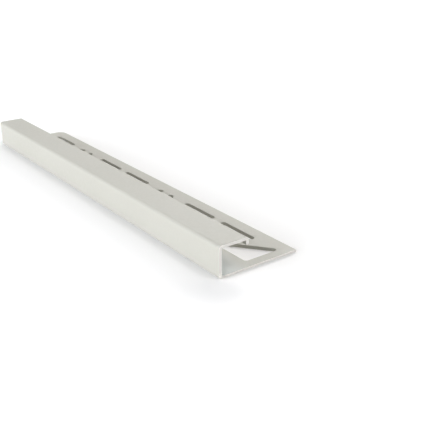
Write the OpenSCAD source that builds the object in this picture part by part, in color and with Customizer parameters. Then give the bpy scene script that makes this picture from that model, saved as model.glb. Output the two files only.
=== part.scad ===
// Square-edge tile trim, a short length of one extruded profile.
// A front wall and a top flange with a down-turned lip form an open box; a wide, thin leg
// runs back from the wall's foot and is punched with anchoring slots and keying holes.
// Millimetres. X runs along the length, Y from the front face to the leg's free edge, Z up.
// The origin lies under the middle of the piece, and the leg's underside is at Z = 0.

/* [Profile] */
// Length of the piece
length = 155.5; // [110:0.5:300]
// Height over the top flange, the tile thickness it suits
height = 10; // [8:0.5:15]
// Width from the front face to the leg's free edge
width = 28.2; // [27:0.1:36]

/* [Front box] */
// Width of the top flange over its lip
box_width = 10.2; // [9:0.1:11]
// Thickness of the front wall
wall = 1; // [0.8:0.1:1.3]
// Thickness of the top flange
flange = 0.9; // [0.7:0.1:1.2]
// Thickness of the lip
lip = 0.9; // [0.8:0.1:1.2]
// Height of the lip, measured from the top face
lip_drop = 2.3; // [2:0.1:4]
// Outer radius along the front wall's foot and head
edge_radius = 1; // [0.5:0.1:1]
// Outer radius where the flange turns down into the lip
lip_radius = 1; // [0.5:0.1:1.2]
// Radius of the two edges at the lip's lower end
lip_end_radius = 0.25; // [0.1:0.05:0.35]

/* [Leg] */
// Thickness of the leg
leg = 0.8; // [0.7:0.1:1]
// Distance from the front face to the middle of the groove at the leg's root
groove_at = 1.9; // [1.8:0.1:3]
// Width of the groove
groove_width = 0.3; // [0.2:0.1:0.8]
// Depth of the groove
groove_depth = 0.45; // [0.2:0.05:0.5]
// Radius of the leg's free corner at the -X end
corner_radius = 3; // [1:0.5:4]

/* [Punched pattern] */
// Distance after which the pattern repeats
period = 60; // [58:1:64]
// Distance from the +X end to the middle of the first bar between two keying holes
first_bar = 1; // [0:0.5:6]
// Width of the bar between two keying holes
bar = 4.2; // [3:0.1:6]
// Length of a keying hole's front edge, before its corners are rounded
key_base = 16.8; // [14:0.1:17]
// Length of the edge that a keying hole turns to its bar, before its corners are rounded
key_side = 13.1; // [11:0.1:13.5]
// Distance from the front face to a keying hole's front edge
key_front = 11.7; // [11.3:0.1:12.5]
// Radius of a keying hole's corners
key_radius = 1; // [0.5:0.1:1.2]
// Length of an anchoring slot
slot_length = 15.5; // [10:0.5:16]
// Width of an anchoring slot
slot_width = 2; // [1.6:0.1:2.4]
// Distance from the front face to the slots' middle line
slot_line = 22.95; // [22.5:0.05:23.5]
// Least material left between an opening and the end of the piece
end_margin = 1; // [1:0.5:4]

/* [Hidden] */
// Bars that can lie within the piece
bar_count = ceil(length / period) + 1;
// Middles of the bars, measured from the +X end
bars = [for (k = [0 : bar_count]) first_bar + k * period];
// Overlap that keeps cuts clear of the faces they open
over = 1;
$fn = 96;

// An opening is punched only where the whole of it lies within the piece
function fits(near, far) = near >= end_margin && far <= length - end_margin;

// Unit vector that points from one outline point to another
function toward(a, b) = (b - a) / norm(b - a);

// Half the angle of the corner b between its neighbours a and c
function half_angle(a, b, c) = acos(toward(b, a) * toward(b, c)) / 2;

// Middle of the arc that rounds the corner b with radius r
function arc_middle(a, b, c, r) =
    b + toward([0, 0], toward(b, a) + toward(b, c)) * r / sin(half_angle(a, b, c));

// The two points where that arc meets the corner's straight edges
function arc_ends(a, b, c, r) =
    [for (next = [a, c]) b + toward(b, next) * r / tan(half_angle(a, b, c))];

// Convex outline whose corners are all rounded with radius r
module rounded_outline(points, r) {
    last = len(points) - 1;
    before = [for (i = [0 : last]) points[i == 0 ? last : i - 1]];
    after = [for (i = [0 : last]) points[i == last ? 0 : i + 1]];
    polygon([for (i = [0 : last]) each arc_ends(before[i], points[i], after[i], r)]);
    for (i = [0 : last])
        translate(arc_middle(before[i], points[i], after[i], r)) circle(r);
}

// What a rounded corner leaves outside its arc, for a corner at the origin
module corner_waste(r) {
    difference() {
        translate([-over, -over]) square(r + over);
        translate([r, r]) circle(r);
        translate([r, -over]) square([over, r + over]);
        translate([-over, r]) square([r + over, over]);
    }
}

// Open box at the front: wall, top flange and lip, as seen from the +X end
module box_section() {
    inner_width = box_width - wall - lip;
    lip_end = height - lip_drop;
    difference() {
        square([box_width, height]);
        corner_waste(edge_radius);
        translate([0, height]) mirror([0, 1]) corner_waste(edge_radius);
        translate([box_width, height]) rotate(180) corner_waste(lip_radius);
        translate([wall, leg]) square([inner_width, height - flange - leg]);
        translate([wall, leg]) square([box_width, lip_end - leg]);
        translate([box_width - lip, lip_end]) corner_waste(lip_end_radius);
        translate([box_width, lip_end]) mirror([1, 0]) corner_waste(lip_end_radius);
    }
}

// Whole profile, with the leg and the groove at its root
module section() {
    groove = [
        [groove_at - groove_width / 2, leg],
        [groove_at, leg - groove_depth],
        [groove_at + groove_width / 2, leg],
        [groove_at, leg + over]
    ];
    difference() {
        union() {
            box_section();
            translate([box_width / 2, 0]) square([width - box_width / 2, leg]);
        }
        polygon(groove);
    }
}

// Keying hole on the far side of a bar, a right triangle with one edge on the Y axis
module keying_hole() {
    outline = [
        [0, key_front],
        [key_base, key_front],
        [0, key_front + key_side]
    ];
    rounded_outline(outline, key_radius);
}

// Anchoring slot, middle on the Y axis
module anchoring_slot() {
    reach = (slot_length - slot_width) / 2;
    translate([-reach, slot_line - slot_width / 2]) square([2 * reach, slot_width]);
    for (side = [-1, 1])
        translate([side * reach, slot_line]) circle(slot_width / 2);
}

// All openings, laid out along the distance from the +X end
module openings() {
    for (at = bars) {
        if (fits(at + bar / 2, at + bar / 2 + key_base))
            translate([at + bar / 2, 0]) keying_hole();
        if (fits(at - bar / 2 - key_base, at - bar / 2))
            translate([at - bar / 2, 0]) mirror([1, 0]) keying_hole();
        for (third = [1, 2])
            if (fits(at + third * period / 3 - slot_length / 2, at + third * period / 3 + slot_length / 2))
                translate([at + third * period / 3, 0]) anchoring_slot();
    }
}

// Extruded and punched piece, lying on its leg
module trim_profile() {
    color([0.78, 0.77, 0.73])
    translate([length / 2, -width / 2, 0])
    difference() {
        rotate([90, 0, -90]) mirror([1, 0, 0]) linear_extrude(length) section();
        translate([0, 0, -over]) linear_extrude(leg + 2 * over) mirror([1, 0]) openings();
        translate([-length, width, -over])
        linear_extrude(leg + 2 * over) mirror([0, 1]) corner_waste(corner_radius);
    }
}

trim_profile();
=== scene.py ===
import math

import bmesh
import bpy
from mathutils import Matrix, Quaternion, Vector


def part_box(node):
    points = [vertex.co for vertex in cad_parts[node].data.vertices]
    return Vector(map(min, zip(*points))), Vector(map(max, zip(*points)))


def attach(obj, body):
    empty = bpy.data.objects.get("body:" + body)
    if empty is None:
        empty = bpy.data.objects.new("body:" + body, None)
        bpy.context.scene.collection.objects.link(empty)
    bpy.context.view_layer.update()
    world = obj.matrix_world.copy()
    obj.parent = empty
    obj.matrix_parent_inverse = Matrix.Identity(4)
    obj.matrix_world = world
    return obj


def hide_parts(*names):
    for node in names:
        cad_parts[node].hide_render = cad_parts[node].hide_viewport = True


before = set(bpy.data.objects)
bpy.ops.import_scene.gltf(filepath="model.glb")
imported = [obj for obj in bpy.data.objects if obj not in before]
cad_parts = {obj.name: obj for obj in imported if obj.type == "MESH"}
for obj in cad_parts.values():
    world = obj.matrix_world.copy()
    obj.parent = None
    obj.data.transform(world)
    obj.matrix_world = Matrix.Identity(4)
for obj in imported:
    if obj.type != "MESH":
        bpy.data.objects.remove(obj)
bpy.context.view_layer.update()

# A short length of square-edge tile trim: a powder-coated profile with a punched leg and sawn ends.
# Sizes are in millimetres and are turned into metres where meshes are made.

NODE = "trim_profile"
BODY = "root"
MM = 0.001

low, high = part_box(NODE)
LENGTH = (high.x - low.x) / MM
WIDTH = (high.y - low.y) / MM
HEIGHT = (high.z - low.z) / MM

# Front box
BOX_WIDTH = 10.2
WALL = 1.0
FLANGE = 0.9
LIP = 0.9
LIP_DROP = 2.3
EDGE_RADIUS = 1.0
LIP_RADIUS = 1.0
LIP_END_RADIUS = 0.25
INNER_RADIUS = 0.12

# Leg, with the groove at its root
LEG = 0.8
GROOVE_AT = 1.9
GROOVE_WIDTH = 0.1
GROOVE_DEPTH = 0.45
GROOVE_EDGE_RADIUS = 0.04
GROOVE_FLOOR_RADIUS = 0.006
CORNER_RADIUS = 3.0
NEAR_CORNER_RADIUS = 0.05
# Where the part that is swept along the length meets the punched part of the leg
SPLIT_AT = 10.8

# Punched pattern, measured from the +X end and from the front face
PERIOD = 60.0
FIRST_BAR = 1.0
BAR = 4.2
KEY_BASE = 16.8
KEY_SIDE = 13.1
KEY_FRONT = 11.7
KEY_RADIUS = 1.0
SLOT_LENGTH = 15.5
SLOT_WIDTH = 2.0
SLOT_LINE = 22.95
# A little under half the width, so that a short straight edge stays between two corners
SLOT_END_RADIUS = 0.95
END_MARGIN = 1.0

# Small edges: the rim of the sawn ends, the punch's roll-over, what it leaves underneath, and how
# much an opening narrows on each side on its way down
RIM = 0.04
ROLL_OVER = 0.06
UNDER_EDGE = 0.03
TAPER = 0.5
EDGE_STEPS = 3
ARC_STEP = math.radians(9)
# Vertices that lie closer together than this are one
SAME_POINT = 0.0004
# How strongly large faces lead when normals are averaged; 100 is the most
FLAT_WEIGHT = 100


# Outlines, drawn with the material on their left

def round_corner(before, corner, after, radius):
    """Points of the arc that rounds a corner between two straight edges."""
    back = (before - corner).normalized()
    ahead = (after - corner).normalized()
    half = back.angle(ahead) / 2
    middle = corner + (back + ahead).normalized() * (radius / math.sin(half))
    spoke = corner + back * (radius / math.tan(half)) - middle
    turn = math.pi - 2 * half
    side = 1 if (-back).cross(ahead) > 0 else -1
    steps = max(2, math.ceil(turn / ARC_STEP))
    return [middle + Matrix.Rotation(side * turn * i / steps, 2) @ spoke for i in range(steps + 1)]


def outline(corners, closed):
    """Points of an outline given by corners of (x, y, radius); radius 0 keeps a corner sharp."""
    points = [Vector(c[:2]) for c in corners]
    count = len(points)
    drawn = []
    for i, corner in enumerate(corners):
        inner = closed or 0 < i < count - 1
        if corner[2] > 0 and inner:
            drawn += round_corner(points[i - 1], points[i], points[(i + 1) % count], corner[2])
        else:
            drawn.append(points[i])
    return drawn


def outward(points, closed):
    """For each point, the step that moves the outline one unit away from the material."""
    count = len(points)
    steps = []
    for i, point in enumerate(points):
        edges = []
        if closed or i > 0:
            edges.append((point - points[i - 1]).normalized())
        if closed or i < count - 1:
            edges.append((points[(i + 1) % count] - point).normalized())
        normals = [Vector((e.y, -e.x)) for e in edges]
        total = sum(normals, Vector((0, 0)))
        steps.append(total * 2 / total.length_squared if len(normals) == 2 else normals[0])
    return steps


def section_outline():
    """The profile from the leg's top over the front box to the leg's underside, as (y, z)."""
    lip_end = HEIGHT - LIP_DROP
    inner_top = HEIGHT - FLANGE
    lip_inner = BOX_WIDTH - LIP
    return outline([
        (SPLIT_AT, LEG, 0),
        (GROOVE_AT + GROOVE_WIDTH / 2, LEG, GROOVE_EDGE_RADIUS),
        (GROOVE_AT, LEG - GROOVE_DEPTH, GROOVE_FLOOR_RADIUS),
        (GROOVE_AT - GROOVE_WIDTH / 2, LEG, GROOVE_EDGE_RADIUS),
        (WALL, LEG, INNER_RADIUS),
        (WALL, inner_top, INNER_RADIUS),
        (lip_inner, inner_top, INNER_RADIUS),
        (lip_inner, lip_end, LIP_END_RADIUS),
        (BOX_WIDTH, lip_end, LIP_END_RADIUS),
        (BOX_WIDTH, HEIGHT, LIP_RADIUS),
        (0, HEIGHT, EDGE_RADIUS),
        (0, 0, EDGE_RADIUS),
        (SPLIT_AT, 0, 0),
    ], closed=False)


def leg_outline():
    """The leg's outer edge from one sawn end round the free edge to the other, as (x, y)."""
    return outline([
        (LENGTH / 2, SPLIT_AT, 0),
        (LENGTH / 2, WIDTH, NEAR_CORNER_RADIUS),
        (-LENGTH / 2, WIDTH, CORNER_RADIUS),
        (-LENGTH / 2, SPLIT_AT, 0),
    ], closed=False)


def fits(near, far):
    """Whether an opening between two distances from the +X end lies within the piece."""
    return near >= END_MARGIN and far <= LENGTH - END_MARGIN


def keying_hole(upright, side):
    """A right triangle that reaches from its upright edge away from the bar, towards side."""
    corners = [
        (upright, KEY_FRONT, KEY_RADIUS),
        (upright, KEY_FRONT + KEY_SIDE, KEY_RADIUS),
        (upright + side * KEY_BASE, KEY_FRONT, KEY_RADIUS),
    ]
    return outline(corners if side > 0 else corners[::-1], closed=True)


def anchoring_slot(middle):
    """A slot with round ends."""
    half = SLOT_WIDTH / 2
    reach = SLOT_LENGTH / 2
    corners = [
        (middle - reach, SLOT_LINE - half),
        (middle - reach, SLOT_LINE + half),
        (middle + reach, SLOT_LINE + half),
        (middle + reach, SLOT_LINE - half),
    ]
    return outline([(*corner, SLOT_END_RADIUS) for corner in corners], closed=True)


def openings():
    """Every punched opening, laid out along the distance from the +X end, as (x, y)."""
    found = []
    bar = FIRST_BAR
    while bar < LENGTH + PERIOD:
        near, far = bar - BAR / 2, bar + BAR / 2
        if fits(far, far + KEY_BASE):
            found.append(keying_hole(LENGTH / 2 - far, -1))
        if fits(near - KEY_BASE, near):
            found.append(keying_hole(LENGTH / 2 - near, 1))
        for third in (1, 2):
            middle = bar + third * PERIOD / 3
            if fits(middle - SLOT_LENGTH / 2, middle + SLOT_LENGTH / 2):
                found.append(anchoring_slot(LENGTH / 2 - middle))
        bar += PERIOD
    return found


# Mesh

def edge_profile(radius):
    """Quarter round as (inset, drop) pairs, from the face beside the edge to the face below it."""
    angles = [math.pi / 2 * i / EDGE_STEPS for i in range(EDGE_STEPS + 1)]
    return [(radius * (1 - math.sin(a)), radius * (1 - math.cos(a))) for a in angles]


def ring(bm, points):
    """Vertices for a row of points in millimetres, with y measured from the front face."""
    return [bm.verts.new(Vector((x, y - WIDTH / 2, z)) * MM) for x, y, z in points]


def bridge(bm, rings, closed):
    """Four-sided faces between each row of vertices and the next."""
    count = len(rings[0])
    for a, b in zip(rings, rings[1:]):
        for i in range(count if closed else count - 1):
            j = (i + 1) % count
            bm.faces.new((a[i], a[j], b[j], b[i]))


def add_front_box(bm):
    """Sweeps the section from end to end and closes both ends."""
    points = section_outline()
    steps = outward(points, closed=False)
    edge = edge_profile(RIM)
    near = [(LENGTH / 2 - inset, drop) for inset, drop in edge]
    stations = [(-x, drop) for x, drop in near[::-1]] + near
    rings = []
    for x, drop in stations:
        moved = [p - s * drop for p, s in zip(points, steps)]
        rings.append(ring(bm, [(x, p.x, p.y) for p in moved]))
    bridge(bm, rings, closed=False)
    for end in (rings[0], rings[-1]):
        bm.faces.new(end)


def add_wall(bm, points, closed, top_radius, under_radius, taper):
    """The wall under an edge of the leg, with both of its rounded edges; returns the outermost rows."""
    steps = outward(points, closed)
    levels = [(inset, LEG - drop) for inset, drop in edge_profile(top_radius)]
    levels += [(inset, drop) for inset, drop in edge_profile(under_radius)[::-1]]
    rings = []
    for inset, z in levels:
        step_out = taper * (LEG - z) / LEG - inset
        moved = [p + s * step_out for p, s in zip(points, steps)]
        rings.append(ring(bm, [(p.x, p.y, z) for p in moved]))
    bridge(bm, rings, closed)
    return rings[0], rings[-1]


def loop_edges(bm, row):
    """The edges that join a row of vertices into a closed loop."""
    pairs = zip(row, row[1:] + row[:1])
    return [bm.edges.get(pair) or bm.edges.new(pair) for pair in pairs]


def add_leg(bm):
    """The punched part of the leg: its edges and its two flat faces."""
    rows = [add_wall(bm, leg_outline(), False, RIM, RIM, 0)]
    rows += [add_wall(bm, hole, True, ROLL_OVER, UNDER_EDGE, TAPER) for hole in openings()]
    for face_rows in zip(*rows):
        edges = [edge for row in face_rows for edge in loop_edges(bm, row)]
        bmesh.ops.triangle_fill(bm, edges=edges, use_beauty=True, use_dissolve=False)


def sawn(face):
    """Whether a face is part of a sawn end or its rim."""
    middle = face.calc_center_median().x / MM
    return abs(middle) > LENGTH / 2 - RIM


def trim_piece(coat, metal):
    """The whole piece as one closed mesh."""
    bm = bmesh.new()
    add_front_box(bm)
    add_leg(bm)
    bmesh.ops.remove_doubles(bm, verts=bm.verts, dist=SAME_POINT * MM)
    bmesh.ops.recalc_face_normals(bm, faces=bm.faces)
    for face in bm.faces:
        face.smooth = True
        face.material_index = 1 if sawn(face) else 0
    mesh = bpy.data.meshes.new("edge_trim")
    bm.to_mesh(mesh)
    bm.free()
    mesh.materials.append(coat)
    mesh.materials.append(metal)
    piece = bpy.data.objects.new("edge_trim", mesh)
    bpy.context.collection.objects.link(piece)
    normals = piece.modifiers.new("flat_faces_stay_flat", "WEIGHTED_NORMAL")
    normals.weight = FLAT_WEIGHT
    return piece


# Materials

# Powder coat: tones, painted light that makes the leg paler, a painted bluish reflection near the wall
# inside the front box, and gloss
COAT = (0.412, 0.401, 0.353)
COAT_SHADE = (0.392, 0.381, 0.333)
SHADE_SHARE = 0.5
# Painted light: a paler copy of the coat on the leg and low inside the front box, standing in for light
# the leg lacks
LEG_PAINTED_LIGHT = (0.459, 0.446, 0.388)
LEG_PAINTED_LIGHT_SHARE = 0.6
# Painted reflection: a paler, bluish tint on the leg near the wall's inner face
PAINTED_BLUISH_REFLECTION = (0.56, 0.583, 0.563)
# Distances from the front face and heights over which the painted reflection fades out
PAINTED_REFLECTION_DEPTH = (3, 13)
PAINTED_REFLECTION_HEIGHT = (3, 6)
# Depth under the wall's inner face over which the outer coat gives way to the painted lighter coat inside
INNER_FADE = 0.1
COAT_ROUGHNESS = (0.5, 0.6)
COAT_SPECULAR = 0.3

# Sizes of the coat's spots, and depth and strength of its relief
CLOUD_SIZE = 24
GRAIN_SIZE = 0.35
PEEL_SIZE = 1.1
GRAIN_RELIEF = (0.01, 0.2)
PEEL_RELIEF = (0.03, 0.25)

# Sawn metal: tones, the heights between which painted shade darkens it above the leg, gloss, and saw marks
METAL = (0.91, 0.882, 0.838)
METAL_SHADE = (0.80, 0.772, 0.726)
# Painted shade: the sawn faces above the leg are darker than the leg's
METAL_PAINTED_SHADE = (0.755, 0.73, 0.692)
METAL_PAINTED_SHADE_SHARE = 0.75
METAL_PAINTED_SHADE_HEIGHT = (LEG, 3 * LEG)
METAL_ROUGHNESS = (0.36, 0.58)
METAL_SHARE = 0.1
MOTTLE_SIZE = 0.7
MOTTLE_SHARE = 0.6
# Middle of the saw blade, measured from the middle of the piece's foot
SAW_MIDDLE = Vector((0, -50, -90))
MARKS_SCALE = 900
MARKS_DISTORTION = 3
MARKS_DETAIL = 3
MARKS_SHARE = 0.3
MARKS_RELIEF = (0.01, 0.3)

# Values of noise and of the saw marks that are spread over a whole change of tone
NOISE_RANGE = (0.3, 0.7)
GRAIN_RANGE = (0.4, 0.75)
MARKS_RANGE = (0.2, 1)

FLOOR = (0.948, 0.937, 0.92)
FLOOR_ROUGHNESS = 0.9


def new_material(name):
    """An empty node material and its shader."""
    material = bpy.data.materials.new(name)
    material.use_nodes = True
    return material, material.node_tree, material.node_tree.nodes["Principled BSDF"]


def noise(tree, place, size, detail):
    """Even noise, size in millimetres across one of its spots."""
    made = tree.nodes.new("ShaderNodeTexNoise")
    made.inputs["Scale"].default_value = 1 / (size * MM)
    made.inputs["Detail"].default_value = detail
    tree.links.new(place, made.inputs["Vector"])
    return made.outputs["Fac"]


def spread(tree, value, old, new):
    """Maps a value from one range to another, smoothly and without running past it."""
    made = tree.nodes.new("ShaderNodeMapRange")
    made.interpolation_type = "SMOOTHSTEP"
    made.inputs["From Min"].default_value, made.inputs["From Max"].default_value = old
    made.inputs["To Min"].default_value, made.inputs["To Max"].default_value = new
    tree.links.new(value, made.inputs["Value"])
    return made.outputs["Result"]


def times(tree, first, second):
    """Product of two values."""
    made = tree.nodes.new("ShaderNodeMath")
    made.operation = "MULTIPLY"
    tree.links.new(first, made.inputs[0])
    tree.links.new(second, made.inputs[1])
    return made.outputs["Value"]


def blend(tree, share, first, second):
    """Colour between two others, each a constant or the output of a node."""
    made = tree.nodes.new("ShaderNodeMix")
    made.data_type = "RGBA"
    tree.links.new(share, made.inputs["Factor"])
    for name, color in (("A", first), ("B", second)):
        socket = next(s for s in made.inputs if s.name == name and s.type == "RGBA")
        if isinstance(color, tuple):
            socket.default_value = (*color, 1)
        else:
            tree.links.new(color, socket)
    return next(s for s in made.outputs if s.type == "RGBA")


def bump(tree, height, depth, strength, below=None):
    """Relief of a depth in millimetres, over another relief if one is given."""
    made = tree.nodes.new("ShaderNodeBump")
    made.inputs["Distance"].default_value = depth * MM
    made.inputs["Strength"].default_value = strength
    tree.links.new(height, made.inputs["Height"])
    if below:
        tree.links.new(below, made.inputs["Normal"])
    return made.outputs["Normal"]


def leg_shares(tree, place):
    """Where the painted light on the leg goes, 1 on the leg and 0 on the outer faces; and where the
    painted reflection goes, the same fading out away from the front wall.
    """
    split = tree.nodes.new("ShaderNodeSeparateXYZ")
    tree.links.new(place, split.inputs["Vector"])
    front = -WIDTH / 2
    inner_face = [(front + depth) * MM for depth in (WALL - INNER_FADE, WALL)]
    reflection_heights = [height * MM for height in PAINTED_REFLECTION_HEIGHT]
    reflection_depths = [(front + depth) * MM for depth in PAINTED_REFLECTION_DEPTH]
    behind_wall = spread(tree, split.outputs["Y"], inner_face, (0, 1))
    low_down = spread(tree, split.outputs["Z"], reflection_heights, (1, 0))
    near_wall = spread(tree, split.outputs["Y"], reflection_depths, (1, 0))
    on_leg = times(tree, behind_wall, low_down)
    return on_leg, times(tree, on_leg, near_wall)


def powder_coat():
    """Satin powder coat: soft clouds, fine grain and orange peel, with painted light on the leg and a
    painted bluish reflection near the wall inside the front box.
    """
    material, tree, shader = new_material("satin_powder_coat")
    place = tree.nodes.new("ShaderNodeTexCoord").outputs["Object"]
    clouds = noise(tree, place, CLOUD_SIZE, detail=3)
    grain = noise(tree, place, GRAIN_SIZE, detail=2)
    peel = noise(tree, place, PEEL_SIZE, detail=1)
    tone = blend(tree, spread(tree, clouds, NOISE_RANGE, (0, SHADE_SHARE)), COAT, COAT_SHADE)
    tone = blend(tree, spread(tree, grain, GRAIN_RANGE, (0, SHADE_SHARE)), tone, COAT_SHADE)
    on_leg, near_wall = leg_shares(tree, place)
    # Painted light: the leg is made paler
    tone = blend(tree, spread(tree, on_leg, (0, 1), (0, LEG_PAINTED_LIGHT_SHARE)), tone, LEG_PAINTED_LIGHT)
    # Painted reflection: paler and bluish near the wall's inner face
    tone = blend(tree, near_wall, tone, PAINTED_BLUISH_REFLECTION)
    tree.links.new(tone, shader.inputs["Base Color"])
    tree.links.new(spread(tree, peel, NOISE_RANGE, COAT_ROUGHNESS), shader.inputs["Roughness"])
    relief = bump(tree, peel, *PEEL_RELIEF)
    relief = bump(tree, grain, *GRAIN_RELIEF, below=relief)
    tree.links.new(relief, shader.inputs["Normal"])
    shader.inputs["Specular IOR Level"].default_value = COAT_SPECULAR
    return material


def sawn_metal():
    """Sawn aluminium: curved saw marks over a fine mottle, with painted shade above the thin leg."""
    material, tree, shader = new_material("sawn_aluminium")
    place = tree.nodes.new("ShaderNodeTexCoord").outputs["Object"]
    from_saw = tree.nodes.new("ShaderNodeMapping")
    from_saw.inputs["Location"].default_value = -SAW_MIDDLE * MM
    tree.links.new(place, from_saw.inputs["Vector"])
    marks = tree.nodes.new("ShaderNodeTexWave")
    marks.wave_type = "RINGS"
    marks.rings_direction = "X"
    marks.inputs["Scale"].default_value = MARKS_SCALE
    marks.inputs["Distortion"].default_value = MARKS_DISTORTION
    marks.inputs["Detail"].default_value = MARKS_DETAIL
    tree.links.new(from_saw.outputs["Vector"], marks.inputs["Vector"])
    mottle = noise(tree, place, MOTTLE_SIZE, detail=3)
    tone = blend(tree, spread(tree, mottle, NOISE_RANGE, (0, MOTTLE_SHARE)), METAL, METAL_SHADE)
    marked = spread(tree, marks.outputs["Fac"], MARKS_RANGE, (0, MARKS_SHARE))
    tone = blend(tree, marked, tone, METAL_SHADE)
    split = tree.nodes.new("ShaderNodeSeparateXYZ")
    tree.links.new(place, split.inputs["Vector"])
    # Painted shade: darker above the leg
    heights = [height * MM for height in METAL_PAINTED_SHADE_HEIGHT]
    above_leg = spread(tree, split.outputs["Z"], heights, (0, METAL_PAINTED_SHADE_SHARE))
    tone = blend(tree, above_leg, tone, METAL_PAINTED_SHADE)
    tree.links.new(tone, shader.inputs["Base Color"])
    tree.links.new(spread(tree, mottle, NOISE_RANGE, METAL_ROUGHNESS), shader.inputs["Roughness"])
    tree.links.new(bump(tree, marks.outputs["Fac"], *MARKS_RELIEF), shader.inputs["Normal"])
    shader.inputs["Metallic"].default_value = METAL_SHARE
    return material


def pale_floor():
    """Matt white studio floor."""
    material, tree, shader = new_material("pale_floor")
    shader.inputs["Base Color"].default_value = (*FLOOR, 1)
    shader.inputs["Roughness"].default_value = FLOOR_ROUGHNESS
    shader.inputs["Specular IOR Level"].default_value = 0
    return material


# Studio: floor, lights and camera

# Side of the floor in metres, and the even light from everywhere
FLOOR_SIZE = 40.0
FILL = 0.02
# The white band behind the floor's edge: sines of the elevations between which it fades out
HORIZON = (0.035, 0.09)
# Soft lights far away all round: azimuth (0 is in front, 90 at the +X end) and elevation, both in
# degrees, how fast each fades away from its middle, brightness there, and tint
WHITE = (1, 1, 1)
COOL = (0.965, 1, 1.068)
SOFT_LIGHTS = {
    "front": (0, 12, 20, 11.2, COOL),
    "front_left": (330, 12, 20, 7.9, COOL),
    "left": (260, 32, 60, 3.9, WHITE),
    "back_left_high": (240, 32, 60, 5.6, WHITE),
    "back_left": (220, 32, 60, 7.8, WHITE),
    "back_left_low": (225, 22, 60, 6.2, WHITE),
    "back": (195, 22, 60, 6.6, WHITE),
    "right_high": (120, 60, 60, 11.4, WHITE),
    "right_low": (95, 4, 60, 3.4, WHITE),
}
FRONT_YAW = -90
# Camera: side of the picture and focal length in pixels, sensor in millimetres, near limit in metres
PHOTO_SIZE = 424
FOCAL = 692.7
SENSOR = 36.0
CLIP_START = 0.01
# Place of the camera, measured from the foot of the front face at the +X end, and its turns in degrees
CAMERA_FROM_CORNER = Vector((131.43, -99.83, 89.13))
CAMERA_YAW = 143.411
CAMERA_PITCH = -22.769
CAMERA_ROLL = -0.306


def pointing(yaw, pitch):
    """Unit vector with a yaw from +X towards +Y and a pitch above the floor, in radians."""
    return Vector((math.cos(pitch) * math.cos(yaw), math.cos(pitch) * math.sin(yaw), math.sin(pitch)))


def add_object(name, data):
    """A new object in the scene that is turned by a quaternion."""
    made = bpy.data.objects.new(name, data)
    bpy.context.collection.objects.link(made)
    made.rotation_mode = "QUATERNION"
    return made


def add_floor():
    """A wide square under the piece."""
    half = FLOOR_SIZE / 2
    mesh = bpy.data.meshes.new("floor")
    corners = [(-half, -half, 0), (half, -half, 0), (half, half, 0), (-half, half, 0)]
    mesh.from_pydata(corners, [], [(0, 1, 2, 3)])
    mesh.materials.append(pale_floor())
    add_object("floor", mesh)


def soft_light(tree, toward, azimuth, elevation, fading, brightness, tint):
    """Light from one side, brightest in its middle, for a world that is seen along toward."""
    middle = tree.nodes.new("ShaderNodeVectorMath")
    middle.operation = "DOT_PRODUCT"
    yaw = math.radians(azimuth + FRONT_YAW)
    middle.inputs[1].default_value = pointing(yaw, math.radians(elevation))
    tree.links.new(toward, middle.inputs[0])
    same_side = tree.nodes.new("ShaderNodeMath")
    same_side.operation = "MAXIMUM"
    same_side.inputs[1].default_value = 0
    tree.links.new(middle.outputs["Value"], same_side.inputs[0])
    fade = tree.nodes.new("ShaderNodeMath")
    fade.operation = "POWER"
    fade.inputs[1].default_value = fading
    tree.links.new(same_side.outputs["Value"], fade.inputs[0])
    light = tree.nodes.new("ShaderNodeBackground")
    light.inputs["Color"].default_value = (*(brightness * channel for channel in tint), 1)
    tree.links.new(fade.outputs["Value"], light.inputs["Strength"])
    return light.outputs["Background"]


def add_surroundings():
    """A studio with a little even light, a white band behind the floor and the soft lights."""
    world = bpy.data.worlds.new("studio")
    world.use_nodes = True
    bpy.context.scene.world = world
    tree = world.node_tree
    toward = tree.nodes.new("ShaderNodeTexCoord").outputs["Generated"]
    even = tree.nodes["Background"]
    even.inputs["Color"].default_value = (*WHITE, 1)
    split = tree.nodes.new("ShaderNodeSeparateXYZ")
    tree.links.new(toward, split.inputs["Vector"])
    tree.links.new(spread(tree, split.outputs["Z"], HORIZON, (1, FILL)), even.inputs["Strength"])
    total = even.outputs["Background"]
    for settings in SOFT_LIGHTS.values():
        both = tree.nodes.new("ShaderNodeAddShader")
        tree.links.new(total, both.inputs[0])
        tree.links.new(soft_light(tree, toward, *settings), both.inputs[1])
        total = both.outputs["Shader"]
    tree.links.new(total, tree.nodes["World Output"].inputs["Surface"])


def add_camera():
    """The photograph's camera."""
    data = bpy.data.cameras.new("camera")
    data.sensor_width = SENSOR
    data.lens = FOCAL / PHOTO_SIZE * SENSOR
    data.clip_start = CLIP_START
    camera = add_object("camera", data)
    looks = pointing(math.radians(CAMERA_YAW), math.radians(CAMERA_PITCH))
    roll = Quaternion((0, 0, 1), math.radians(CAMERA_ROLL))
    camera.location = (CAMERA_FROM_CORNER + Vector((LENGTH / 2, -WIDTH / 2, 0))) * MM
    camera.rotation_quaternion = looks.to_track_quat("-Z", "Y") @ roll
    bpy.context.scene.camera = camera


piece = trim_piece(powder_coat(), sawn_metal())
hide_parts(NODE)
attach(piece, BODY)

add_floor()
add_surroundings()
add_camera()
bpy.context.scene.view_settings.view_transform = "Standard"
